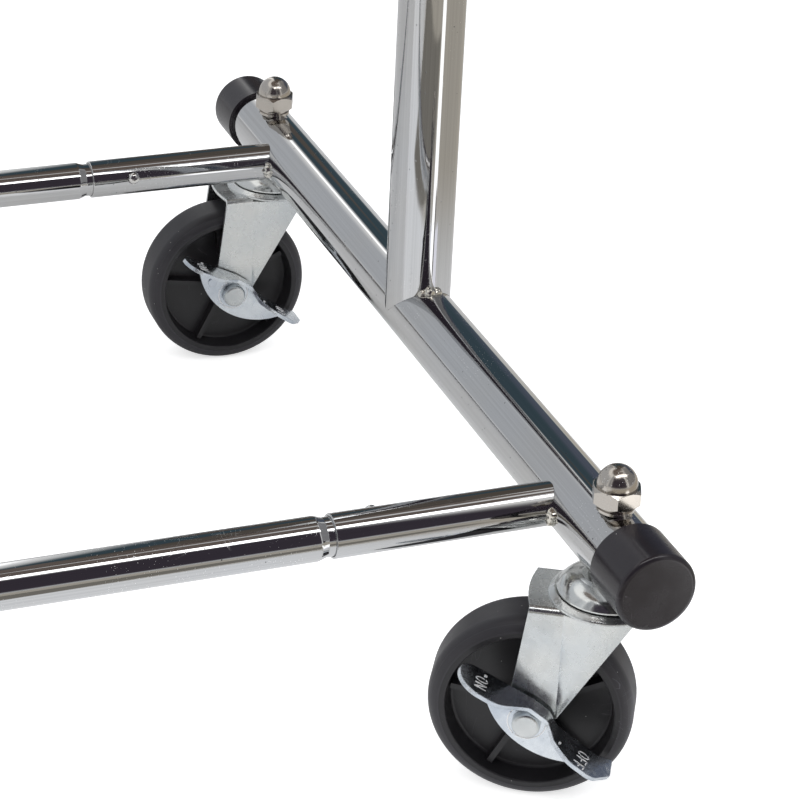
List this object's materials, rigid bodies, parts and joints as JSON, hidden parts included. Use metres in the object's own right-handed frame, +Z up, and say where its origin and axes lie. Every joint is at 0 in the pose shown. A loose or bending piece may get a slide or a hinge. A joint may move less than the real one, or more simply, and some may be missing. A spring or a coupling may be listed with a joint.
{
  "type": "rolling clothes rack",
  "caption": "Chrome tube rolling clothes rack: two T-shaped end frames, knock-down rails with spring buttons and braked swivel casters.",
  "frame": {"origin": "on the floor, below the middle of the rack", "axes": "+X along the hanging rail, +Y from the front base rail to the rear one, +Z up"},
  "size_m": [1.545, 0.622, 1.6768],
  "materials": {
    "chrome": "polished chrome plate",
    "nut": "bright nickel plate",
    "zinc": "bright zinc plate on pressed sheet",
    "rivet": "zinc plate",
    "steel": "plated steel",
    "weld": "plated weld",
    "cap": "satin black plastic",
    "tyre": "satin dark grey hard rubber",
    "wheel_core": "moulded black plastic"
  },
  "bodies": {
    "rack": {"right_foot_tube": "chrome", "right_post": "chrome", "right_post_cap": "cap", "right_front_foot_cap": "cap", "right_rear_foot_cap": "cap", "left_foot_tube": "chrome", "left_post": "chrome", "left_post_cap": "cap", "left_front_foot_cap": "cap", "left_rear_foot_cap": "cap", "front_base_rail": "chrome", "right_front_base_rail_stub": "chrome", "left_front_base_rail_stub": "chrome", "rear_base_rail": "chrome", "right_rear_base_rail_stub": "chrome", "left_rear_base_rail_stub": "chrome", "hanging_rail": "chrome", "right_hanging_rail_stub": "chrome", "left_hanging_rail_stub": "chrome", "button_springs": "steel", "weld_beads": "weld", "caster_stems": "steel", "dome_nuts": "nut", "spring_washers": "steel", "flat_washers": "steel", "race_covers": "zinc", "race_balls": "steel"},
    "right_front_caster": {"right_front_fork": "zinc", "right_front_axle": "rivet", "right_front_axle_sleeve": "steel"},
    "right_front_wheel": {"right_front_wheel_core": "wheel_core", "right_front_tyre": "tyre"},
    "right_front_lever": {"right_front_brake_lever": "zinc"},
    "right_rear_caster": {"right_rear_fork": "zinc", "right_rear_axle": "rivet", "right_rear_axle_sleeve": "steel"},
    "right_rear_wheel": {"right_rear_wheel_core": "wheel_core", "right_rear_tyre": "tyre"},
    "right_rear_lever": {"right_rear_brake_lever": "zinc"},
    "left_front_caster": {"left_front_fork": "zinc", "left_front_axle": "rivet", "left_front_axle_sleeve": "steel"},
    "left_front_wheel": {"left_front_wheel_core": "wheel_core", "left_front_tyre": "tyre"},
    "left_front_lever": {"left_front_brake_lever": "zinc"},
    "left_rear_caster": {"left_rear_fork": "zinc", "left_rear_axle": "rivet", "left_rear_axle_sleeve": "steel"},
    "left_rear_wheel": {"left_rear_wheel_core": "wheel_core", "left_rear_tyre": "tyre"},
    "left_rear_lever": {"left_rear_brake_lever": "zinc"},
    "right_front_base_rail_button": {"right_front_base_rail_button": "steel"},
    "left_front_base_rail_button": {"left_front_base_rail_button": "steel"},
    "right_rear_base_rail_button": {"right_rear_base_rail_button": "steel"},
    "left_rear_base_rail_button": {"left_rear_base_rail_button": "steel"},
    "right_hanging_rail_button": {"right_hanging_rail_button": "steel"},
    "left_hanging_rail_button": {"left_hanging_rail_button": "steel"}
  },
  "joints": [
    {"name": "right_front_swivel", "type": "hinge", "parent": "rack", "child": "right_front_caster", "pos_m": [0.744, -0.2605, 0.1433], "axis": [0, 0, 1], "continuous": true},
    {"name": "right_front_roll", "type": "hinge", "parent": "right_front_caster", "child": "right_front_wheel", "pos_m": [0.71589, -0.2446, 0.0508], "axis": [-0.4924, -0.8704, 0], "continuous": true},
    {"name": "right_front_brake", "type": "hinge", "parent": "right_front_caster", "child": "right_front_lever", "pos_m": [0.71589, -0.2446, 0.0508], "axis": [-0.4924, -0.8704, 0], "range_deg": [0, 38]},
    {"name": "right_rear_swivel", "type": "hinge", "parent": "rack", "child": "right_rear_caster", "pos_m": [0.744, 0.2515, 0.1433], "axis": [0, 0, 1], "continuous": true},
    {"name": "right_rear_roll", "type": "hinge", "parent": "right_rear_caster", "child": "right_rear_wheel", "pos_m": [0.7117, 0.25184, 0.0508], "axis": [-0.0105, -0.9999, 0], "continuous": true},
    {"name": "right_rear_brake", "type": "hinge", "parent": "right_rear_caster", "child": "right_rear_lever", "pos_m": [0.7117, 0.25184, 0.0508], "axis": [-0.0105, -0.9999, 0], "range_deg": [0, 38]},
    {"name": "left_front_swivel", "type": "hinge", "parent": "rack", "child": "left_front_caster", "pos_m": [-0.744, -0.2605, 0.1433], "axis": [0, 0, 1], "continuous": true},
    {"name": "left_front_roll", "type": "hinge", "parent": "left_front_caster", "child": "left_front_wheel", "pos_m": [-0.71589, -0.2446, 0.0508], "axis": [-0.4924, 0.8704, 0], "continuous": true},
    {"name": "left_front_brake", "type": "hinge", "parent": "left_front_caster", "child": "left_front_lever", "pos_m": [-0.71589, -0.2446, 0.0508], "axis": [-0.4924, 0.8704, 0], "range_deg": [0, 38]},
    {"name": "left_rear_swivel", "type": "hinge", "parent": "rack", "child": "left_rear_caster", "pos_m": [-0.744, 0.2515, 0.1433], "axis": [0, 0, 1], "continuous": true},
    {"name": "left_rear_roll", "type": "hinge", "parent": "left_rear_caster", "child": "left_rear_wheel", "pos_m": [-0.7117, 0.25184, 0.0508], "axis": [-0.0105, 0.9999, 0], "continuous": true},
    {"name": "left_rear_brake", "type": "hinge", "parent": "left_rear_caster", "child": "left_rear_lever", "pos_m": [-0.7117, 0.25184, 0.0508], "axis": [-0.0105, 0.9999, 0], "range_deg": [0, 38]},
    {"name": "right_front_base_rail_button_press", "type": "slide", "parent": "rack", "child": "right_front_base_rail_button", "axis": [0, -0.9659, -0.2588], "range_m": [0, 0.00515], "stiffness_N_per_m": 800, "springref_m": -0.003},
    {"name": "left_front_base_rail_button_press", "type": "slide", "parent": "rack", "child": "left_front_base_rail_button", "axis": [0, -0.9659, -0.2588], "range_m": [0, 0.00515], "stiffness_N_per_m": 800, "springref_m": -0.003},
    {"name": "right_rear_base_rail_button_press", "type": "slide", "parent": "rack", "child": "right_rear_base_rail_button", "axis": [0, 0.9659, -0.2588], "range_m": [0, 0.00515], "stiffness_N_per_m": 800, "springref_m": -0.003},
    {"name": "left_rear_base_rail_button_press", "type": "slide", "parent": "rack", "child": "left_rear_base_rail_button", "axis": [0, 0.9659, -0.2588], "range_m": [0, 0.00515], "stiffness_N_per_m": 800, "springref_m": -0.003},
    {"name": "right_hanging_rail_button_press", "type": "slide", "parent": "rack", "child": "right_hanging_rail_button", "axis": [0, 0.9659, 0.2588], "range_m": [0, 0.00535], "stiffness_N_per_m": 800, "springref_m": -0.003},
    {"name": "left_hanging_rail_button_press", "type": "slide", "parent": "rack", "child": "left_hanging_rail_button", "axis": [0, 0.9659, 0.2588], "range_m": [0, 0.00535], "stiffness_N_per_m": 800, "springref_m": -0.003}
  ]
}
